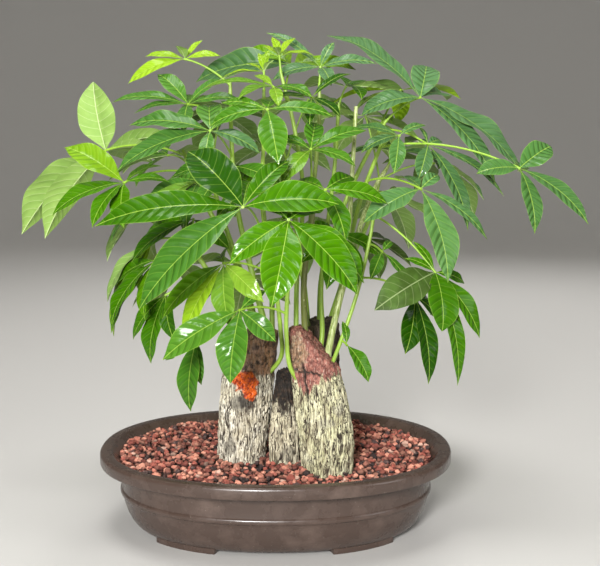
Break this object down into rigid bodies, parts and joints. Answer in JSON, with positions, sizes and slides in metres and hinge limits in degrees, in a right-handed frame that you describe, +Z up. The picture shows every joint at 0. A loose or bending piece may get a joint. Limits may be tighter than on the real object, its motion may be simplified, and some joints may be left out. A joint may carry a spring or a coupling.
{
  "type": "potted money tree",
  "caption": "Bonsai-style money tree with stout cut-back trunks and a broad crown of palmate leaves, in a shallow oval plastic pot topped with lava gravel.",
  "frame": {"origin": "centre of the pot, on the plane that its feet stand on", "axes": "+Z up, +X along the long side of the pot, -Y towards the viewer of the picture"},
  "size_m": [0.5727, 0.4104, 0.503],
  "materials": {
    "pot_plastic": "semi-gloss dark brown plastic, a little dusty",
    "soil_dark": "damp dark potting soil",
    "lava_gravel": "rough red-brown lava stone",
    "bark_pale": "flaky cream and grey bark with dark cuts",
    "bark_dark": "dark mossy bark",
    "leaf_green": "glossy green leaves and green to woody stems"
  },
  "bodies": {
    "root": {"gravel": "lava_gravel", "leafy_stem_01": "leaf_green", "leafy_stem_02": "leaf_green", "leafy_stem_03": "leaf_green", "leafy_stem_04": "leaf_green", "leafy_stem_05": "leaf_green", "leafy_stem_06": "leaf_green", "leafy_stem_07": "leaf_green", "leafy_stem_08": "leaf_green", "leafy_stem_09": "leaf_green", "leafy_stem_10": "leaf_green", "leafy_stem_11": "leaf_green", "leafy_stem_12": "leaf_green", "leafy_stem_13": "leaf_green", "leafy_stem_14": "leaf_green", "leafy_stem_15": "leaf_green", "leafy_stem_16": "leaf_green", "leafy_stem_17": "leaf_green", "pot": "pot_plastic", "soil": "soil_dark", "trunk_back": "bark_dark", "trunk_left": "bark_pale", "trunk_middle": "bark_dark", "trunk_right": "bark_pale"}
  },
  "joints": []
}
